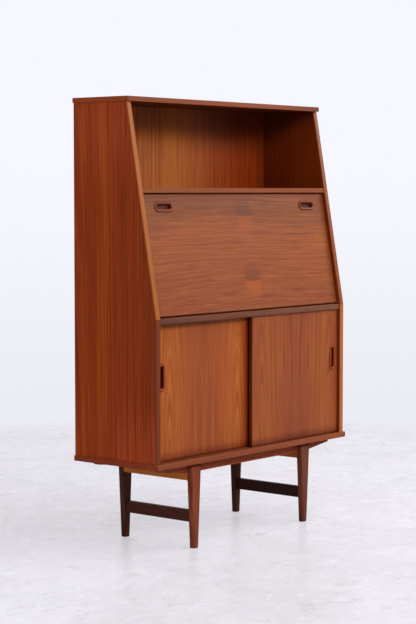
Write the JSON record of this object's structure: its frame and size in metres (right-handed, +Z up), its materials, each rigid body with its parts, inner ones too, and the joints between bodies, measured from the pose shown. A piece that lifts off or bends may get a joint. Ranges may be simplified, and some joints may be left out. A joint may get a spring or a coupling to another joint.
{
  "type": "secretary desk",
  "caption": "Free-standing secretary desk: open niche, raked fall front on brass stays over a fitted writing compartment, sliding-door cabinet, tapered leg frame.",
  "frame": {"origin": "floor level under the centre of the whole desk's footprint", "axes": "+Z up, the front faces -Y, +X to the right as seen from the front"},
  "size_m": [0.916, 0.321, 1.3],
  "materials": {
    "teak_side": "oiled teak veneer, dark red-brown, vertical grain",
    "teak_case": "oiled teak veneer, grain along the length",
    "teak_front": "oiled teak veneer with cathedral grain",
    "teak_edge": "solid teak edge strip, oiled",
    "teak_pull": "shaped solid teak, satin",
    "teak_inner": "thin teak boards, satin",
    "teak_leg": "shaped solid teak, dark, satin",
    "oak_rail": "plain oak, lightly oiled",
    "dark_stretcher": "dark stained wood, satin",
    "beech": "plain beech",
    "brass": "satin brass",
    "steel": "zinc-plated steel"
  },
  "bodies": {
    "case": {"side_left": "teak_side", "side_right": "teak_side", "side_lipping_left": "teak_edge", "side_lipping_right": "teak_edge", "top_panel": "teak_case", "top_lipping": "teak_edge", "base_panel": "teak_case", "base_lipping": "teak_edge", "niche_shelf": "teak_case", "niche_shelf_lipping": "teak_edge", "deck_panel": "teak_case", "deck_lipping": "teak_edge", "writing_bed": "teak_case", "back_upper": "teak_case", "back_lower": "teak_case", "back_screws": "steel", "leaf_stop": "teak_case", "pigeonhole_floor": "teak_inner", "pigeonhole_dividers": "teak_inner", "pigeonhole_shelves": "teak_inner", "cabinet_shelf": "teak_case", "shelf_pins": "brass", "pivot_pins": "brass", "stay_plates": "brass", "front_rail": "teak_leg", "rear_rail": "teak_leg", "cross_rail_left": "oak_rail", "cross_rail_right": "oak_rail", "leg_front_left": "teak_leg", "leg_front_right": "teak_leg", "leg_rear_left": "teak_leg", "leg_rear_right": "teak_leg", "stretcher_left": "dark_stretcher", "stretcher_right": "dark_stretcher", "frame_screws": "steel", "case_dowels": "beech"},
    "leaf": {"leaf_panel": "teak_front", "leaf_lipping": "teak_edge", "leaf_pull_left": "teak_pull", "leaf_pull_right": "teak_pull", "leaf_bushes": "brass", "stay_brackets": "brass"},
    "stay_arm_left": {"stay_arm_left": "brass"},
    "stay_arm_right": {"stay_arm_right": "brass"},
    "stay_block_left": {"stay_block_left": "brass"},
    "stay_block_right": {"stay_block_right": "brass"},
    "door_left": {"door_left": "teak_front", "door_pull_left": "teak_pull"},
    "door_right": {"door_right": "teak_front", "door_pull_right": "teak_pull"},
    "drawer_left": {"drawer_front_left": "teak_inner", "drawer_box_left": "beech", "drawer_knob_left": "teak_pull"},
    "drawer_right": {"drawer_front_right": "teak_inner", "drawer_box_right": "beech", "drawer_knob_right": "teak_pull"}
  },
  "joints": [
    {"name": "leaf_hinge", "type": "hinge", "parent": "case", "child": "leaf", "pos_m": [0, -0.13205, 0.686], "axis": [1, 0, 0], "range_deg": [0, 100.1]},
    {"name": "stay_arm_left_pivot", "type": "hinge", "parent": "leaf", "child": "stay_arm_left", "pos_m": [-0.42275, -0.08808, 0.81894], "axis": [1, 0, 0], "range_deg": [-50.1, 0]},
    {"name": "stay_block_left_pivot", "type": "hinge", "parent": "case", "child": "stay_block_left", "pos_m": [-0.4305, -0.05785, 0.80475], "axis": [1, 0, 0], "range_deg": [0, 50.1]},
    {"name": "stay_arm_right_pivot", "type": "hinge", "parent": "leaf", "child": "stay_arm_right", "pos_m": [0.42275, -0.08808, 0.81894], "axis": [1, 0, 0], "range_deg": [-50.1, 0]},
    {"name": "stay_block_right_pivot", "type": "hinge", "parent": "case", "child": "stay_block_right", "pos_m": [0.4305, -0.05785, 0.80475], "axis": [1, 0, 0], "range_deg": [0, 50.1]},
    {"name": "door_left_slide", "type": "slide", "parent": "case", "child": "door_left", "axis": [1, 0, 0], "range_m": [0, 0.42]},
    {"name": "door_right_slide", "type": "slide", "parent": "case", "child": "door_right", "axis": [-1, 0, 0], "range_m": [0, 0.433]},
    {"name": "drawer_left_slide", "type": "slide", "parent": "case", "child": "drawer_left", "axis": [0, -1, 0], "range_m": [0, 0.075]},
    {"name": "drawer_right_slide", "type": "slide", "parent": "case", "child": "drawer_right", "axis": [0, -1, 0], "range_m": [0, 0.075]}
  ],
  "couplings": [
    {"joint": "stay_arm_left_pivot", "follows": "leaf_hinge", "ratio": -0.5},
    {"joint": "stay_block_left_pivot", "follows": "leaf_hinge", "ratio": 0.5},
    {"joint": "stay_arm_right_pivot", "follows": "leaf_hinge", "ratio": -0.5},
    {"joint": "stay_block_right_pivot", "follows": "leaf_hinge", "ratio": 0.5}
  ]
}
